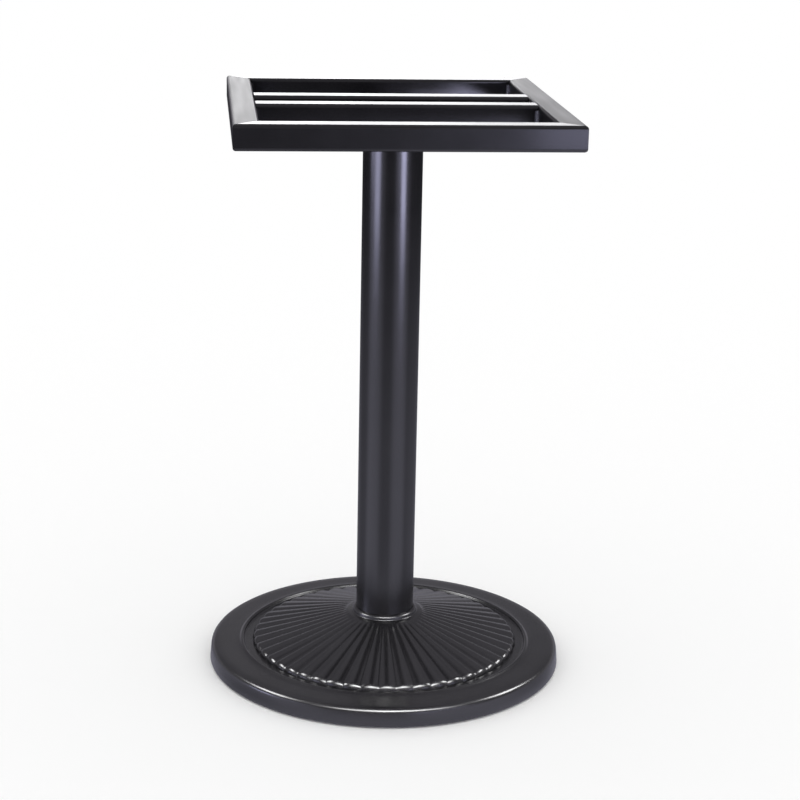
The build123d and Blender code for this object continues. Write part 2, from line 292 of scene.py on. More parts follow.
def filleted(corners, steps, shoulder=0.0):
    """Closed outline with an arc at every corner.

    Each corner is (x, y, radius). Its arc starts radius times the tangent of half the turn before the
    corner, and runs a sine along the way in and one minus a cosine to the side of the turn. A shoulder
    adds a point on the straight just before and after each arc, which keeps flat faces flat when shaded.
    """
    data = np.array(corners, float)
    point, radius = data[:, :2], data[:, 2:]
    way_out = np.roll(point, -1, axis=0) - point
    way_out /= np.linalg.norm(way_out, axis=1, keepdims=True)
    way_in = np.roll(way_out, 1, axis=0)
    side = np.stack([-way_in[:, 1], way_in[:, 0]], axis=1)
    turn = np.arctan2((side * way_out).sum(1), (way_in * way_out).sum(1))[:, None]
    side = side * np.sign(turn)
    start = point - way_in * radius * np.tan(np.abs(turn) / 2)
    sweep = (np.abs(turn) * np.linspace(0, 1, steps))[:, :, None]
    arc = start[:, None] + radius[:, None] * (
        np.sin(sweep) * way_in[:, None] + (1 - np.cos(sweep)) * side[:, None]
    )
    if shoulder:
        before = arc[:, :1] - shoulder * way_in[:, None]
        after = arc[:, -1:] + shoulder * way_out[:, None]
        arc = np.concatenate([before, arc, after], axis=1)
    return arc.reshape(-1, 2)


def spaced(outline, widest):
    """Closed outline with points added evenly along each side that is longer than its widest spacing."""
    ways = np.roll(outline, -1, axis=0) - outline
    counts = np.maximum(1, np.ceil(np.linalg.norm(ways, axis=1) / widest)).astype(int)
    side = np.repeat(np.arange(len(outline)), counts)
    along = np.arange(counts.sum()) - np.repeat(np.cumsum(counts) - counts, counts)
    return outline[side] + ways[side] * (along / counts[side])[:, None]


def turned(outline, columns):
    """Grid of an outline of radius and height carried round the Z axis: x is r cos t and y is r sin t."""
    turn = np.linspace(0, 2 * pi, columns, endpoint=False)
    r, z = outline[:, :1], outline[:, 1:]
    return np.stack([r * np.cos(turn), r * np.sin(turn), z + 0 * turn], axis=-1)


def ring_outline(outer, inner, low, high, edge):
    """Closed outline of a ring's section with rounded edges."""
    corners = [(outer, low, edge), (outer, high, edge), (inner, high, edge), (inner, low, edge)]
    return filleted(corners, RING_ARC, edge)


def middle(low, high):
    """Place on the floor under the middle of a box."""
    return np.array([(low.x + high.x) / 2, (low.y + high.y) / 2, 0])


def grid_quads(rows, columns, first, joined):
    """Corner numbers of a grid's quads. Columns join up round it, and rows too where it is joined."""
    corner = first + np.arange(rows * columns).reshape(rows, columns)
    above = np.roll(corner, -1, axis=0)
    quads = np.stack([corner, np.roll(corner, -1, axis=1), np.roll(above, -1, axis=1), above], axis=-1)
    return (quads if joined else quads[:-1]).reshape(-1, 4)


def outward(points, quads):
    """The quads, turned round where the volume that they close comes out negative."""
    a, b, c, d = (points[quads[:, i]] for i in range(4))
    volume = (np.cross(b - a, c - a) * (a + b + c)).sum() + (np.cross(c - a, d - a) * (a + c + d)).sum()
    return quads[:, ::-1] if volume < 0 else quads


def mesh_of(name, grids, joined):
    """Mesh of closed grids of points. A grid whose rows don't join gets a flat cap at each end."""
    points = np.concatenate([grid.reshape(-1, 3) for grid in grids])
    corners = []
    sizes = []
    first = 0
    for grid in grids:
        rows, columns = grid.shape[:2]
        quads = outward(points, grid_quads(rows, columns, first, joined))
        corners.append(quads.ravel())
        sizes.append(np.full(len(quads), 4))
        if not joined:
            low = first + np.arange(columns)
            high = low + (rows - 1) * columns
            upright = quads[0, 1] - quads[0, 0] in (1, 1 - columns)
            corners += [low[::-1], high] if upright else [low, high[::-1]]
            sizes += [np.array([columns]), np.array([columns])]
        first += rows * columns
    corners = np.concatenate(corners).astype(np.int32)
    sizes = np.concatenate(sizes).astype(np.int32)
    mesh = bpy.data.meshes.new(name)
    mesh.vertices.add(len(points))
    mesh.vertices.foreach_set("co", points.astype(np.float32).ravel())
    mesh.loops.add(len(corners))
    mesh.loops.foreach_set("vertex_index", corners)
    mesh.polygons.add(len(sizes))
    mesh.polygons.foreach_set("loop_start", np.cumsum(sizes).astype(np.int32) - sizes)
    mesh.polygons.foreach_set("use_smooth", np.ones(len(sizes), bool))
    mesh.update(calc_edges=True)
    if mesh.validate():
        raise RuntimeError(f"{name} has faces that Blender had to mend")
    mesh.set_sharp_from_angle(angle=SHARP_EDGE)
    return mesh


# Finishes

# Most of a noise's values lie in this span, which is spread over a finish's own range
NOISE_SPAN = (0.3, 0.7)
# Clouds in a powder coat: their size, and the factors of tone and roughness from cloud to cloud
CLOUD = 45 * MM
CLOUD_TONE = (0.85, 1.15)
CLOUD_SHINE = (0.93, 1.07)


def add(tree, kind, sockets=(), **settings):
    """Adds a node with its settings and returns it.

    Sockets come by name or in order. Each is set to a value, or linked to an output or a node's first one.
    """
    node = tree.nodes.new(kind)
    for key, value in settings.items():
        setattr(node, key, value)
    for key, value in sockets.items() if isinstance(sockets, dict) else enumerate(sockets):
        if isinstance(value, bpy.types.Node):
            value = value.outputs[0]
        if isinstance(value, bpy.types.NodeSocket):
            tree.links.new(value, node.inputs[key])
        else:
            node.inputs[key].default_value = value
    return node


def new_material(name):
    """New material and its emptied node tree."""
    material = bpy.data.materials.new(name)
    material.use_nodes = True
    material.node_tree.nodes.clear()
    return material, material.node_tree


def rgba(three):
    """Colour with full cover."""
    return (*three, 1.0)


def mottled(tree, noise, tint, tones, shines):
    """Base colour and roughness that go from the first to the second of their two values with a noise."""
    tone = add(tree, "ShaderNodeMapRange", (noise, *NOISE_SPAN, *tones))
    base = add(tree, "ShaderNodeVectorMath", {0: tint, "Scale": tone}, operation="SCALE")
    shine = add(tree, "ShaderNodeMapRange", (noise, *NOISE_SPAN, *shines))
    return {"Base Color": base, "Roughness": shine}


def powder_coat(name, tint, rough, peel, grit, streak=1.0):
    """Powder coat baked on metal: thin black plastic that flowed out almost smooth.

    The eye sees a soft satin shine, a faint orange peel from the flow and the metal's own grit under it.
    Peel and grit each have a size and a height. The shine is cloudy, and a streak over 1 draws the clouds
    out along Y by that much.
    """
    material, tree = new_material(name)
    place = add(tree, "ShaderNodeTexCoord").outputs["Object"]
    drawn = add(tree, "ShaderNodeVectorMath", (place, (streak, 1 / streak, streak)), operation="MULTIPLY")
    cloud = add(tree, "ShaderNodeTexNoise", {"Vector": drawn, "Scale": 1 / CLOUD})
    look = mottled(tree, cloud, tint, CLOUD_TONE, [rough * factor for factor in CLOUD_SHINE])
    peel_size, peel_height = peel
    flow = add(tree, "ShaderNodeTexNoise", {"Vector": place, "Scale": 1 / peel_size})
    wave = add(tree, "ShaderNodeBump", {"Height": flow, "Distance": peel_height})
    grit_size, grit_height = grit
    speck = add(tree, "ShaderNodeTexNoise", {"Vector": place, "Scale": 1 / grit_size, "Detail": 4.0})
    bump = add(tree, "ShaderNodeBump", {"Height": speck, "Distance": grit_height, "Normal": wave})
    surface = {**look, "IOR": 1.5, "Normal": bump}
    add(tree, "ShaderNodeOutputMaterial", {"Surface": add(tree, "ShaderNodeBsdfPrincipled", surface)})
    return material


def coat_on_steel():
    """Powder coat on drawn tube and plate. The orange peel is drawn twice as coarse as it is, to show."""
    tint = bpy.context.scene.table_base_finish.coat
    peel, grit = (3.2 * MM, 0.012 * MM), (1.1 * MM, 0.002 * MM)
    return powder_coat("satin_powder_coat_on_steel", tint, 0.22, peel, grit)


def coat_on_side_rail():
    """The same coat rubbed dull along the side rails, which shine less and show faint streaks."""
    tint = bpy.context.scene.table_base_finish.coat
    peel, grit = (3.2 * MM, 0.012 * MM), (1.1 * MM, 0.004 * MM)
    return powder_coat("rubbed_powder_coat_on_steel", tint, 0.36, peel, grit, streak=4.0)


def coat_on_casting():
    """Powder coat on sand-cast iron, where the mould's grit lifts the coat into a soft grain."""
    tint = bpy.context.scene.table_base_finish.casting
    peel, grit = (4.5 * MM, 0.03 * MM), (1.6 * MM, 0.02 * MM)
    return powder_coat("satin_powder_coat_on_cast_iron", tint, 0.25, peel, grit)


def coat_on_weld():
    """Powder coat over an unground bead, a little rougher than on the tube."""
    tint = bpy.context.scene.table_base_finish.coat
    peel, grit = (2.0 * MM, 0.02 * MM), (0.8 * MM, 0.01 * MM)
    return powder_coat("satin_powder_coat_on_weld", tint, 0.25, peel, grit)


def zinc_plate():
    """Bright zinc plating on steel: a pale metal with a cloudy sheen and a fine grain."""
    colours = bpy.context.scene.table_base_finish
    material, tree = new_material("zinc_plated_steel")
    place = add(tree, "ShaderNodeTexCoord").outputs["Object"]
    cloud = add(tree, "ShaderNodeTexNoise", {"Vector": place, "Scale": 1 / (4 * MM)})
    look = mottled(tree, cloud, colours.zinc, tones=(0.8, 1.1), shines=(0.28, 0.42))
    grain = add(tree, "ShaderNodeTexNoise", {"Vector": place, "Scale": 1 / (0.9 * MM)})
    bump = add(tree, "ShaderNodeBump", {"Height": grain, "Distance": 0.004 * MM})
    surface = {**look, "Metallic": 1.0, "Normal": bump}
    add(tree, "ShaderNodeOutputMaterial", {"Surface": add(tree, "ShaderNodeBsdfPrincipled", surface)})
    return material


def black_nylon():
    """Moulded nylon: a dull black with the fine spark-eroded grain of its mould."""
    colours = bpy.context.scene.table_base_finish
    material, tree = new_material("moulded_black_nylon")
    place = add(tree, "ShaderNodeTexCoord").outputs["Object"]
    spark = add(tree, "ShaderNodeTexNoise", {"Vector": place, "Scale": 1 / (0.8 * MM), "Detail": 3.0})
    look = mottled(tree, spark, colours.nylon, tones=(0.9, 1.1), shines=(0.5, 0.62))
    bump = add(tree, "ShaderNodeBump", {"Height": spark, "Distance": 0.02 * MM})
    surface = {**look, "IOR": 1.53, "Normal": bump}
    add(tree, "ShaderNodeOutputMaterial", {"Surface": add(tree, "ShaderNodeBsdfPrincipled", surface)})
    return material


MATERIALS = {}


def made(finish):
    """The material that a finish function makes, made once."""
    name = finish.__name__
    if name not in MATERIALS:
        MATERIALS[name] = finish()
    return MATERIALS[name]


def add_piece(name, grids, finish, slot, *nodes, joined=True):
    """Object of a mesh of grids with a finish, which rides on the base and stands for the given nodes."""
    mesh = mesh_of(name, grids, joined)
    mesh.materials.append(made(finish))
    piece = bpy.data.objects.new(name, mesh)
    bpy.context.scene.collection.objects.link(piece)
    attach(piece, BODY)
    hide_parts(*nodes)


# Foot

class FootLevels:
    """Radii and heights of the foot, worked out from its sizes and its node's box."""

    def __init__(self, foot):
        low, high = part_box("base_casting")
        self.radius = high.x
        self.lift = low.z
        self.lip_z = high.z
        self.rim_z = low.z + foot.skirt_height
        self.land_z = self.rim_z + foot.land_rise
        self.ring_z = self.land_z + foot.ring_rise
        self.groove_z = self.land_z - foot.groove_drop
        self.ring_outer = self.radius - foot.skirt_draft - foot.rim_round - foot.land_width
        self.ring_crest = self.ring_outer - foot.ring_outer
        self.ring_inner = self.ring_crest - foot.ring_crest - foot.ring_inner
        self.reed_reach = self.ring_inner - foot.groove_width
        self.apex_z = low.z + foot.apex_height
        self.reed_half = foot.reed_fill * asin(cos(foot.reed_slope) * sin(pi / foot.reeds))
        self.reed_centre = (self.reed_reach - foot.end_set) / cos(foot.reed_slope)
        self.end_r = tan(self.reed_half) * sqrt(self.reed_centre**2 - foot.reed_end**2)
        self.bed = tan(foot.reed_slope - self.reed_half * (1 - foot.bed_share))
        self.bed_foot = self.reed_reach - foot.shoulder_width / 3
        self.shoulder = self.bed_foot - foot.shoulder_width
        self.crest = tan(foot.reed_slope - self.reed_half)
        self.socket_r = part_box("column_tube")[1].x + foot.socket_gap
        self.socket_z = self.lip_z - foot.socket_depth
        self.lip_r = self.socket_r + foot.lip_wall
        self.hub_z = self.lip_z - foot.lip_height
        self.flare_z = self.apex_z - foot.flare_inner * self.crest + foot.flare_rise
        self.wall_r = self.radius - foot.skirt_draft - foot.wall


def foot_outline(foot, at):
    """Closed outline of the foot's section without reeds: over the bed, down the skirt and back under."""
    small = foot.cast_round
    fine = 0.3 * small
    corners = [
        (foot.rod_hole, at.socket_z, fine),
        (at.socket_r, at.socket_z, fine),
        (at.socket_r, at.lip_z, fine),
        (at.lip_r, at.lip_z, foot.lip_round),
        (at.lip_r, at.hub_z, foot.ring_round),
        (foot.flare_inner, at.flare_z, foot.flare_round),
        (foot.flare_outer, at.apex_z - foot.flare_outer * at.bed, foot.flare_round),
        (at.shoulder, at.apex_z - at.shoulder * at.bed, foot.shoulder_round),
        (at.bed_foot, at.groove_z, foot.groove_round),
        (at.ring_inner, at.groove_z, foot.groove_round),
        (at.ring_crest - foot.ring_crest, at.ring_z, foot.ring_round),
        (at.ring_crest, at.ring_z, foot.ring_round),
        (at.ring_outer, at.land_z, foot.ring_round),
        (at.radius - foot.skirt_draft, at.rim_z, foot.rim_round),
        (at.radius, at.lift, small),
        (at.wall_r, at.lift, small),
        (at.wall_r, at.rim_z - foot.wall, small),
        (at.reed_reach, at.groove_z - foot.wall, small),
        (foot.hub_radius, at.apex_z - foot.hub_radius * at.bed - foot.wall, small),
        (foot.hub_radius, foot.hub_face, small),
        (foot.rod_hole, foot.hub_face, fine),
    ]
    arcs = filleted(corners, CAST_ARC).reshape(-1, CAST_ARC, 2)
    wide = np.linalg.norm(arcs[:, -1:] - arcs[:, :1], axis=2) > foot.small_arc
    ends_and_middle = np.arange(CAST_ARC) % (CAST_ARC // 2) == 0
    return arcs[wide | ends_and_middle]


def reed_height(foot, at, r, off):
    """Height of a reed's upper side at a radius and a turn off its own, or far below where there is none.

    A reed is a cone whose point lies on the column's axis and whose axis slopes down by a, with an end
    that is half an ellipsoid. With x along the reed, y across it and w over the point, the way along the
    axis is t = x cos a - w sin a and the way over it is n = x sin a + w cos a. The cone's side, with h as
    its half angle, is where n squared plus y squared is t squared times tan h squared. The end's side is
    where (t - centre) squared over its length squared, plus n squared and y squared over its radius
    squared, is 1. Both are quadratics in w, and the upper root counts.
    """
    x, y = r * np.cos(off), r * np.sin(off)
    sine, cosine = sin(foot.reed_slope), cos(foot.reed_slope)
    flank = tan(at.reed_half) ** 2
    a = cosine**2 - flank * sine**2
    b = x * sine * cosine * (1 + flank)
    c = x**2 * (sine**2 - flank * cosine**2) + y**2
    inside = b**2 - a * c
    cone = (np.sqrt(np.maximum(inside, 0)) - b) / a
    touch = at.reed_centre - foot.reed_end**2 / at.reed_centre
    on_cone = (inside > 0) & (x * cosine - cone * sine < touch)
    along, over = 1 / foot.reed_end**2, 1 / at.end_r**2
    ahead = x * cosine - at.reed_centre
    a = sine**2 * along + cosine**2 * over
    b = sine * (x * cosine * over - ahead * along)
    c = ahead**2 * along + (x**2 * sine**2 + y**2) * over - 1
    inside = b**2 - a * c
    end = (np.sqrt(np.maximum(inside, 0)) - b) / a
    on_end = (inside > 0) & (x * cosine - end * sine >= touch)
    nothing = -1.0
    return at.apex_z + np.maximum(np.where(on_cone, cone, nothing), np.where(on_end, end, nothing))


def reed_toe(foot, at, off):
    """Radius at which a reed's end meets the groove's floor, at a turn off the reed's own.

    With the floor's height put into the ellipsoid's equation it is a quadratic in the radius, of which the
    outer root counts.
    """
    sine, cosine = sin(foot.reed_slope), cos(foot.reed_slope)
    along, over = 1 / foot.reed_end**2, 1 / at.end_r**2
    w = at.groove_z - at.apex_z
    u = np.cos(off)
    behind = w * sine + at.reed_centre
    a = along * u**2 * cosine**2 + over * (u**2 * sine**2 + np.sin(off) ** 2)
    b = over * u * w * sine * cosine - along * u * cosine * behind
    c = along * behind**2 + over * w**2 * cosine**2 - 1
    return (np.sqrt(b**2 - a * c) - b) / a


def softer(first, second, width):
    """Soft maximum of two heights: their mean plus half the hypotenuse of their difference and a width."""
    return (first + second + np.hypot(first - second, width)) / 2


def ramp(value, low, high):
    """Smooth step from 0 at low to 1 at high: three times the square less two times the cube."""
    t = np.clip((value - low) / (high - low), 0, 1)
    return t * t * (3 - 2 * t)


def foot_grid(foot):
    """Grid of the whole foot.

    The outline goes round the axis, with its rows closer together under the reeds' ends and bent so that
    one row follows the line where the ends meet the groove. Over the dome a row rises to the two nearest
    reeds. Under the dome a row drops to the lower edge of a web, where the way across to the web's middle
    plane is under half its wall.
    """
    at = FootLevels(foot)
    outline = foot_outline(foot, at)
    first_out = np.argmax(outline[:, 0] > at.reed_reach)
    outline = np.insert(outline, first_out, (at.reed_reach, at.groove_z), axis=0)
    out = outline[:, 0]
    dome = (np.arange(len(out)) < np.argmax(out)) & (out < at.ring_inner)
    zones = [dome & (out > at.shoulder), dome]
    outline = spaced(outline, np.select(zones, [foot.end_station, foot.station], foot.plain_station))
    points = turned(outline, foot.reeds * foot.reed_steps)
    z = points[..., 2]
    turn = np.linspace(0, 2 * pi, points.shape[1], endpoint=False)[None, :]
    top = (np.arange(len(outline)) < np.argmax(outline[:, 0]))[:, None]
    pitch = 2 * pi / foot.reeds
    off = np.abs(turn / pitch % 1 - 0.5) * pitch
    r = outline[:, :1] + 0 * turn
    toe = reed_toe(foot, at, off)
    inner = at.shoulder + (r - at.shoulder) * (toe - at.shoulder) / (at.reed_reach - at.shoulder)
    outer = at.ring_inner - (at.ring_inner - r) * (at.ring_inner - toe) / (at.ring_inner - at.reed_reach)
    by_toe = top & (r > at.shoulder) & (r < at.ring_inner)
    r = np.where(by_toe, np.where(r <= at.reed_reach, inner, outer), r)
    points[..., 0], points[..., 1] = r * np.cos(turn), r * np.sin(turn)
    reeded = top & (r > foot.flare_inner) & (r < toe)
    near, beyond = reed_height(foot, at, r, off), reed_height(foot, at, r, pitch - off)
    reed = softer(near, beyond, foot.valley_round)
    z = np.where(reeded, softer(z, reed, np.where(r < at.shoulder, foot.valley_round, 0.0)), z)
    under = ~top & (r < at.wall_r - HAIR) & (r > foot.hub_radius + HAIR)
    web_turn = 2 * pi / foot.webs
    across = r * np.abs(np.sin((turn / web_turn + 0.5) % 1 * web_turn - web_turn / 2))
    web = 1 - ramp(across, foot.web_wall / 2, foot.web_wall / 2 + foot.draft)
    z = np.where(under, z + np.minimum(foot.web_height - z, 0) * web, z)
    points[..., 2] = z
    return points


def boss_grids(foot, fastener):
    """Grids of the bosses round the glides' stems: turned rings from the pads up into the land's wall."""
    top = FootLevels(foot).rim_z - foot.wall / 2
    grids = []
    for node in GLIDE_NODES:
        low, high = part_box(node)
        bottom = low.z + fastener.glide_pad
        ring = ring_outline(foot.boss_radius, fastener.stem_radius, bottom, top, foot.cast_round)
        grids.append(turned(ring, BOSS_POINTS) + middle(low, high))
    return grids


class TABLEBASE_OT_foot(bpy.types.Operator):
    """Builds the reeded cast foot with its hollow underside"""

    bl_idname = "table_base.foot"
    bl_label = "Reeded Foot"

    def execute(self, context):
        foot = context.scene.table_base_foot
        grids = [foot_grid(foot), *boss_grids(foot, context.scene.table_base_fasteners)]
        add_piece("reeded_foot", grids, coat_on_casting, "coated_casting", "base_casting")
        return {"FINISHED"}


# Column and head

class TABLEBASE_OT_column(bpy.types.Operator):
    """Builds the round column"""

    bl_idname = "table_base.column"
    bl_label = "Column"

    def execute(self, context):
        tube = context.scene.table_base_tubes
        low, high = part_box("column_tube")
        outline = ring_outline(high.x, high.x - tube.column_wall, low.z, high.z, tube.column_edge)
        pipe = turned(outline, COLUMN_POINTS)
        add_piece("column_pipe", [pipe], coat_on_steel, "coated_steel", "column_tube")
        return {"FINISHED"}


def plate_grid(low, high, corner, edge, hole):
    """Grid of the head plate: a rounded rectangle with rounded edges, and the rod's hole at its middle.

    Rows go up the rounded edge, over the top to the hole, down through it and back under the plate. Round
    the plate each point of the hole lies on the line from the middle to the outline's own point.
    """
    x, y = high.x, high.y
    corners = [(-x, -y, corner), (x, -y, corner), (x, y, corner), (-x, y, corner)]
    outline = filleted(corners, TUBE_ARC, corner / 4)
    bearing = np.arctan2(outline[:, 1], outline[:, 0])
    spoke = np.stack([np.cos(bearing), np.sin(bearing)], axis=1)
    rows = ring_outline(0, -1, low.z, high.z, edge)
    rim = rows[:, 0] > -0.5
    inset = 1 + rows[rim, :1, None] / np.linalg.norm(outline, axis=1)[None, :, None]
    outside = outline[None] * inset
    inside = np.broadcast_to(spoke * hole, (2, len(spoke), 2))
    plan = np.concatenate([outside, inside])
    heights = np.concatenate([rows[rim, 1], [high.z, low.z]])
    return np.concatenate([plan, np.broadcast_to(heights[:, None, None], (*plan.shape[:2], 1))], axis=2)


class TABLEBASE_OT_head(bpy.types.Operator):
    """Builds the plate under the cross rails and the ring that centres the column"""

    bl_idname = "table_base.head"
    bl_label = "Column Head"

    def execute(self, context):
        tube = context.scene.table_base_tubes
        plate = plate_grid(*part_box("head_plate"), tube.plate_corner, tube.plate_edge, tube.rod_hole)
        add_piece("mounting_plate", [plate], coat_on_steel, "coated_steel", "head_plate")
        low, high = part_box("head_spigot")
        outline = ring_outline(high.x, high.x - tube.spigot_wall, low.z, high.z, tube.column_edge)
        ring = turned(outline, SPIGOT_POINTS)
        add_piece("centring_ring", [ring], coat_on_steel, "coated_steel", "head_spigot")
        return {"FINISHED"}


# Top frame

def tube_grid(tube, half, side, mitred):
    """Grid of a square tube along X with its middle at the origin and its outer side on -Y.

    Rows go along the outside from end to end and back along the inside. A mitred end lies as far back as
    the point is from the outer side. At each end the outside steps in by the joint's edge break.
    """
    half_side = side / 2
    bore = half_side - tube.wall
    edge_break = tube.joint_break

    def section(reach, edge):
        square = [(-reach, -reach), (reach, -reach), (reach, reach), (-reach, reach)]
        return filleted([(*corner, edge) for corner in square], TUBE_ARC, tube.edge / 8)

    outside = section(half_side, tube.edge)
    broken = section(half_side - edge_break, tube.edge - edge_break)
    inside = section(bore, tube.inner_edge)
    plan = [broken, outside, outside, broken, inside, inside]
    ends = [(-1, 0), (-1, edge_break), (1, edge_break), (1, 0), (1, 0), (-1, 0)]
    rows = []
    for outline, (way, back) in zip(plan, ends):
        cut = outline[:, 0] + half_side if mitred else 0 * outline[:, 0]
        x = way * (half - cut - back)
        rows.append(np.stack([x, outline[:, 0], outline[:, 1]], axis=1))
    return np.stack(rows)


def turned_to(grid, degrees, centre):
    """Grid turned about the vertical and moved to a centre."""
    turn = radians(degrees)
    matrix = np.array([[cos(turn), -sin(turn), 0], [sin(turn), cos(turn), 0], [0, 0, 1]])
    return grid @ matrix.T + np.array(centre)


class TABLEBASE_OT_top_frame(bpy.types.Operator):
    """Builds the four mitred rails and the two cross rails"""

    bl_idname = "table_base.top_frame"
    bl_label = "Top Frame"

    def execute(self, context):
        tube = context.scene.table_base_tubes
        turns = {**FRAME_RAILS, **dict.fromkeys(CROSS_RAILS, 0)}
        for node, turn in turns.items():
            low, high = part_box(node)
            size = high - low
            grid = tube_grid(tube, max(size.x, size.y) / 2, size.z, node in FRAME_RAILS)
            rail = turned_to(grid, turn, (low + high) / 2)
            finish = coat_on_side_rail if node in SIDE_RAILS else coat_on_steel
            add_piece(f"{node}_tube", [rail], finish, "coated_steel", node)
        return {"FINISHED"}


def bead_grid(tube, corner, x_way, y_way, low, high):
    """Grid of one upright bead in a corner.

    Across the face, from leg to leg, the bead bulges by a half sine. Up the bead its ripples are the size
    of a sine with a sagging front, and both ends shrink along a quarter ellipse to a tip.
    """
    q = np.linspace(0, 1, BEAD_POINTS)[None, :]
    z = np.linspace(0, 1, BEAD_ROWS)[:, None]
    height = high - low
    end = tube.weld_leg / 2
    from_end = np.minimum(z, 1 - z) * height
    tip = 0.25
    shrink = tip + (1 - tip) * np.sqrt(1 - (1 - np.clip(from_end / end, 0, 1)) ** 2)
    leg = tube.weld_leg * shrink
    bulge = 2 * leg * (tube.weld_bulge - 0.5)
    sag = tube.weld_leg * q * (1 - q)
    ripple = np.abs(np.sin(pi * (z * height - sag) / tube.ripple_pitch)) * tube.ripple_depth
    crown = np.sin(pi * q) * (bulge / 2 + ripple * shrink / 2)
    u = leg * (1 - q) + crown
    v = leg * q + crown
    root = np.zeros_like(u[:, :1])
    u = np.concatenate([u, root], axis=1)
    v = np.concatenate([v, root], axis=1)
    up = np.broadcast_to(low + z * height, u.shape)
    return np.stack([corner[0] + x_way * u, corner[1] + y_way * v, up], axis=-1)


class TABLEBASE_OT_welds(bpy.types.Operator):
    """Builds the rippled weld beads in the frame's inner corners"""

    bl_idname = "table_base.welds"
    bl_label = "Weld Beads"

    def execute(self, context):
        tube = context.scene.table_base_tubes
        low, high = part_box("frame_welds")
        ends = [low.z, high.z]
        grids = []
        for side in (-1, 1):
            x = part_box("front_cross_rail")[1].x * side
            corners = [(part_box("front_rail")[1].y, 1), (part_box("rear_rail")[0].y, -1)]
            for node in CROSS_RAILS:
                rail_low, rail_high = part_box(node)
                corners += [(rail_low.y, -1), (rail_high.y, 1)]
            grids += [bead_grid(tube, (x, y), -side, way, *ends) for y, way in corners]
        add_piece("weld_beads", grids, coat_on_weld, "coated_weld", "frame_welds", joined=False)
        return {"FINISHED"}


# Tie rod with its nuts and washers

def rod_grid(fastener, radius, low, high):
    """Grid of the tie rod, threaded at both ends.

    The thread's depth follows a triangle wave of height over pitch less turn over a full turn, cut off at
    its crest and root, and it fades out along the shank. The chamfers hold the radius under a cone.
    """
    pitch = fastener.thread_pitch
    runout = 3 * pitch
    crest, root = 1 / 8, 1 / 4
    count = int(fastener.thread_length / pitch * THREAD_ROWS)
    bottom = np.linspace(low, low + fastener.thread_length, count)
    top = np.linspace(high - fastener.thread_length, high, count)
    z = np.concatenate([bottom, top])[:, None]
    turn = np.linspace(0, 2 * pi, ROD_POINTS, endpoint=False)[None, :]
    from_end = np.minimum(z - low, high - z)
    wave = np.abs(2 * ((z / pitch - turn / (2 * pi)) % 1) - 1)
    fade = 1 - ramp(from_end, fastener.thread_length - runout, fastener.thread_length)
    r = radius - fastener.thread_depth * fade * np.clip((wave - crest) / (1 - crest - root), 0, 1)
    r = np.minimum(r, radius - fastener.rod_chamfer + from_end)
    return np.stack([r * np.cos(turn), r * np.sin(turn), np.broadcast_to(z, r.shape)], axis=-1)


def nut_grid(fastener, low, high):
    """Grid of a hexagon nut.

    The side's radius is half the flats over the cosine of the way to the middle of its flat. Beyond half
    the flats a cone takes the corners off both ends, whose round faces stop just inside the flats.
    """
    chamfer = radians(30)
    face_share = 0.96
    turn = np.linspace(0, 2 * pi, NUT_POINTS, endpoint=False)
    half = fastener.nut_flats / 2
    side = half / np.cos((turn % (pi / 3)) - pi / 6)
    drop = (side - half) * tan(chamfer)
    face = np.full(NUT_POINTS, face_share * half)
    bore = np.full(NUT_POINTS, fastener.nut_bore)
    r = np.stack([bore, face, side, side, face, bore])
    bottom, top = np.full(NUT_POINTS, low), np.full(NUT_POINTS, high)
    z = np.stack([bottom, bottom, low + drop, high - drop, top, top])
    return np.stack([r * np.cos(turn), r * np.sin(turn), z], axis=-1)


class TABLEBASE_OT_tie_rod(bpy.types.Operator):
    """Builds the threaded tie rod, its nuts and its washers"""

    bl_idname = "table_base.tie_rod"
    bl_label = "Tie Rod"

    def execute(self, context):
        fastener = context.scene.table_base_fasteners
        low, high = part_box("tie_rod")
        rod = rod_grid(fastener, high.x, low.z, high.z)
        add_piece("threaded_tie_rod", [rod], zinc_plate, "zinc_hardware", "tie_rod", joined=False)
        for end in ("top", "bottom"):
            low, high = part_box(f"{end}_nut")
            nut = nut_grid(fastener, low.z, high.z)
            add_piece(f"{end}_hex_nut", [nut], zinc_plate, "zinc_hardware", f"{end}_nut")
            low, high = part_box(f"{end}_washer")
            outline = ring_outline(high.x, fastener.washer_bore, low.z, high.z, fastener.washer_edge)
            washer = turned(outline, WASHER_POINTS)
            add_piece(f"{end}_flat_washer", [washer], zinc_plate, "zinc_hardware", f"{end}_washer")
        return {"FINISHED"}


# Glides

def glide_grid(fastener, low, high):
    """Grid of one glide: a pad with a rounded lower edge and a stem, turned about its own axis."""
    radius = (high.x - low.x) / 2
    stem, edge = fastener.stem_radius, fastener.glide_edge
    pad_top = low.z + fastener.glide_pad
    small = fastener.stem_edge / 2
    corners = [
        (radius, low.z, edge),
        (radius, pad_top, small),
        (stem, pad_top, small),
        (stem, high.z, fastener.stem_edge),
        (0, high.z, 0),
        (0, low.z, 0),
    ]
    rounded = 4
    outline = filleted(corners, GLIDE_ARC)[:rounded * GLIDE_ARC]
    return turned(outline, GLIDE_POINTS) + middle(low, high)


class TABLEBASE_OT_glides(bpy.types.Operator):
    """Builds the four floor glides"""

    bl_idname = "table_base.glides"
    bl_label = "Floor Glides"

    def execute(self, context):
        fastener = context.scene.table_base_fasteners
        for node in GLIDE_NODES:
            glide = glide_grid(fastener, *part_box(node))
            add_piece(f"{node}_pad", [glide], black_nylon, "glide_plastic", node, joined=False)
        return {"FINISHED"}


# Stage

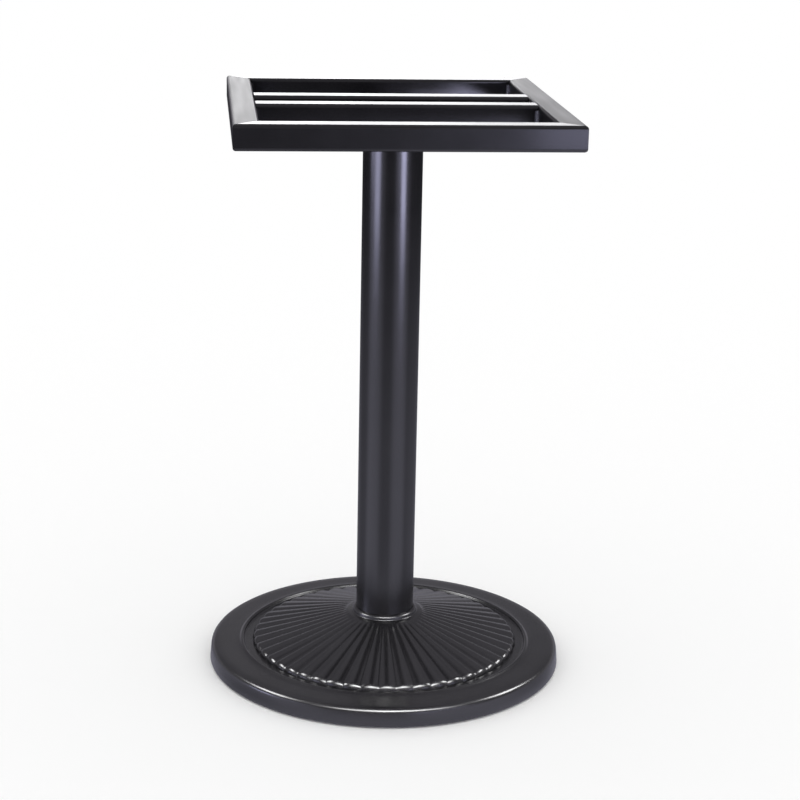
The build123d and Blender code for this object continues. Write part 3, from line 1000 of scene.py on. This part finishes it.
def paper_floor():
    """White paper floor, which the coat mirrors as a lit studio floor.

    To every other ray it is paper in the room's even light, so it shows the object's shadow. A glossy ray
    sees an emission with painted light instead of lamp light: a floor that fades away from the foot, a
    painted pool of light under each large softbox and a painted glow close in front of the foot.
    """
    finish = bpy.context.scene.table_base_finish
    material, tree = new_material("matt_white_paper")
    place = add(tree, "ShaderNodeTexCoord").outputs["Object"]
    away = add(tree, "ShaderNodeVectorMath", (place,), operation="LENGTH").outputs["Value"]
    way = add(tree, "ShaderNodeVectorMath", (place,), operation="NORMALIZE")
    # Painted light: the floor's glow fades with distance from the column
    level = add(tree, "ShaderNodeMapRange", (away, *PAINTED_FLOOR_FADE, *PAINTED_FLOOR_LEVELS), **EASED)
    begun = add(tree, "ShaderNodeMapRange", (away, *PAINTED_POOL_START, 0.0, 1.0), **EASED)
    # Painted pools of light, one under each large softbox
    for turn, height in PAINTED_POOLS:
        to_pool = (sin(radians(turn)), -cos(radians(turn)), 0.0)
        near = add(tree, "ShaderNodeVectorMath", (way, to_pool), operation="DOT_PRODUCT").outputs["Value"]
        pool = add(tree, "ShaderNodeMapRange", (near, *PAINTED_POOL_EDGE, 0.0, height), **EASED)
        pool = add(tree, "ShaderNodeMath", (pool, begun), operation="MULTIPLY")
        level = add(tree, "ShaderNodeMath", (level, pool), operation="ADD")
    along = add(tree, "ShaderNodeSeparateXYZ", (way,)).outputs["Y"]
    # Painted glow close in front of the foot
    glow = add(tree, "ShaderNodeMapRange", (along, *PAINTED_GLOW_SPAN, *PAINTED_GLOW_LEVELS), **EASED)
    close = add(tree, "ShaderNodeMapRange", (away, *PAINTED_GLOW_FADE, 1.0, 0.0), **EASED)
    glow = add(tree, "ShaderNodeMath", (close, glow), operation="MULTIPLY")
    level = add(tree, "ShaderNodeMath", (level, glow), operation="ADD")
    # Painted light: the floor is brighter in front than behind
    front = add(tree, "ShaderNodeMapRange", (along, *PAINTED_FRONT_SPAN, *PAINTED_FRONT_FACTORS), **EASED)
    level = add(tree, "ShaderNodeMath", (level, front), operation="MULTIPLY")
    paper = add(tree, "ShaderNodeBsdfDiffuse", {"Color": rgba(finish.paper)})
    # Emission that glossy rays see: painted light on the floor, not lit by the lamps
    mirrored = add(tree, "ShaderNodeEmission", {"Color": rgba(linear(PAINTED_FLOOR_TINT)), "Strength": level})
    glossy = add(tree, "ShaderNodeLightPath").outputs["Is Glossy Ray"]
    surface = add(tree, "ShaderNodeMixShader", (glossy, paper, mirrored))
    add(tree, "ShaderNodeOutputMaterial", {"Surface": surface})
    return material


def add_world(stage):
    """White room, which the coat mirrors as a dim one with a brighter horizon and ceiling.

    The world isn't sampled as a lamp, so that each kind of ray sees just its own side of the switch.
    """
    finish = bpy.context.scene.table_base_finish
    world = bpy.data.worlds.new("studio")
    world.use_nodes = True
    world.cycles.sampling_method = "NONE"
    tree = world.node_tree
    tree.nodes.clear()
    way = add(tree, "ShaderNodeTexCoord").outputs["Generated"]
    up = add(tree, "ShaderNodeSeparateXYZ", (way,)).outputs["Z"]
    low = add(tree, "ShaderNodeMapRange", (up, *HORIZON_SPAN, stage.horizon, stage.room), **EASED)
    high = add(tree, "ShaderNodeMapRange", (up, *CEILING_SPAN, 0.0, stage.ceiling), **EASED)
    level = add(tree, "ShaderNodeMath", (low, high), operation="ADD")
    white = add(tree, "ShaderNodeBackground", {"Color": rgba(finish.paper)})
    mirrored = add(tree, "ShaderNodeBackground", {"Color": rgba(linear(ROOM_TINT)), "Strength": level})
    glossy = add(tree, "ShaderNodeLightPath").outputs["Is Glossy Ray"]
    back = add(tree, "ShaderNodeMixShader", (glossy, white, mirrored))
    add(tree, "ShaderNodeOutputWorld", {"Surface": back})
    bpy.context.scene.world = world


def add_softbox(name, aim, turn, rise, away, size, level, tint, grid=180):
    """Rectangular light for the shine alone, because the room's even light shows the colours.

    Its power is its brightness times its area times pi. Across a grid's cone the light falls off as one
    less the tangent over the half cone's own, so a grid leaves a share of that power: the square of the
    half cone's sine, less the half cone less its sine times its cosine, over its tangent.
    """
    data = bpy.data.lights.new(name, "AREA")
    data.shape = "RECTANGLE"
    data.size, data.size_y = size
    half = radians(grid) / 2
    left = sin(half) ** 2 - (half - sin(half) * cos(half)) / tan(half)
    data.energy = level * size[0] * size[1] * pi * left
    data.color = linear(tint)
    data.spread = radians(grid)
    light = bpy.data.objects.new(name, data)
    turn, rise = radians(turn), radians(rise)
    way = Vector((sin(turn) * cos(rise), -cos(turn) * cos(rise), sin(rise)))
    facing = way.to_track_quat("Z", "Y").to_matrix().to_4x4()
    light.matrix_world = Matrix.Translation(Vector(aim) + way * away) @ facing
    light.visible_camera = False
    light.visible_diffuse = False
    bpy.context.scene.collection.objects.link(light)


def add_camera(stage):
    """Camera that looks along +Y, turned by its yaw, pitch and roll."""
    data = bpy.data.cameras.new("photo_camera")
    data.sensor_width = 36.0
    data.lens = stage.lens
    data.clip_end = 100.0
    camera = bpy.data.objects.new("photo_camera", data)
    turn = Matrix.Rotation(-stage.yaw, 4, "Z") @ Matrix.Rotation(pi / 2 - stage.pitch, 4, "X")
    camera.matrix_world = Matrix.Translation(stage.eye) @ turn @ Matrix.Rotation(stage.roll, 4, "Z")
    bpy.context.scene.collection.objects.link(camera)
    bpy.context.scene.camera = camera


class TABLEBASE_OT_stage(bpy.types.Operator):
    """Builds the floor, the softboxes, the world and the camera"""

    bl_idname = "table_base.stage"
    bl_label = "Studio"

    def execute(self, context):
        stage = context.scene.table_base_stage
        half = stage.floor_size / 2
        mesh = bpy.data.meshes.new("studio_floor")
        corners = [(-half, -half, 0), (half, -half, 0), (half, half, 0), (-half, half, 0)]
        mesh.from_pydata(corners, [], [(0, 1, 2, 3)])
        mesh.materials.append(paper_floor())
        floor = bpy.data.objects.new("studio_floor", mesh)
        context.scene.collection.objects.link(floor)
        add_world(stage)
        for softbox in SOFTBOXES:
            add_softbox(**softbox)
        add_camera(stage)
        context.scene.view_settings.view_transform = "Standard"
        return {"FINISHED"}


class TABLEBASE_PT_panel(bpy.types.Panel):
    """Buttons and sizes of the table base"""

    bl_idname = "TABLEBASE_PT_panel"
    bl_label = "Table Base"
    bl_space_type = "VIEW_3D"
    bl_region_type = "UI"
    bl_category = "Table Base"

    def draw(self, context):
        for operator in OPERATORS:
            self.layout.operator(operator.bl_idname)
        for name, group in GROUPS.items():
            column = self.layout.column(align=True)
            column.label(text=group.__doc__)
            for key in group.__annotations__:
                column.prop(getattr(context.scene, name), key)


GROUPS = {
    "table_base_foot": FootShape,
    "table_base_tubes": TubeShape,
    "table_base_fasteners": FastenerShape,
    "table_base_finish": Finish,
    "table_base_stage": StageSettings,
}
OPERATORS = (
    TABLEBASE_OT_stage,
    TABLEBASE_OT_foot,
    TABLEBASE_OT_column,
    TABLEBASE_OT_head,
    TABLEBASE_OT_top_frame,
    TABLEBASE_OT_welds,
    TABLEBASE_OT_tie_rod,
    TABLEBASE_OT_glides,
)


def register():
    """Registers the classes and hangs the sizes on the scene."""
    for cls in (*GROUPS.values(), *OPERATORS, TABLEBASE_PT_panel):
        bpy.utils.register_class(cls)
    for name, group in GROUPS.items():
        setattr(bpy.types.Scene, name, PointerProperty(type=group))


def unregister():
    """Takes the sizes off the scene and the classes out again."""
    for name in GROUPS:
        delattr(bpy.types.Scene, name)
    for cls in reversed((*GROUPS.values(), *OPERATORS, TABLEBASE_PT_panel)):
        bpy.utils.unregister_class(cls)


def main():
    """Builds the stage and every piece."""
    register()
    bpy.ops.table_base.stage()
    bpy.ops.table_base.foot()
    bpy.ops.table_base.column()
    bpy.ops.table_base.head()
    bpy.ops.table_base.top_frame()
    bpy.ops.table_base.welds()
    bpy.ops.table_base.tie_rod()
    bpy.ops.table_base.glides()


if __name__ == "__main__":
    main()
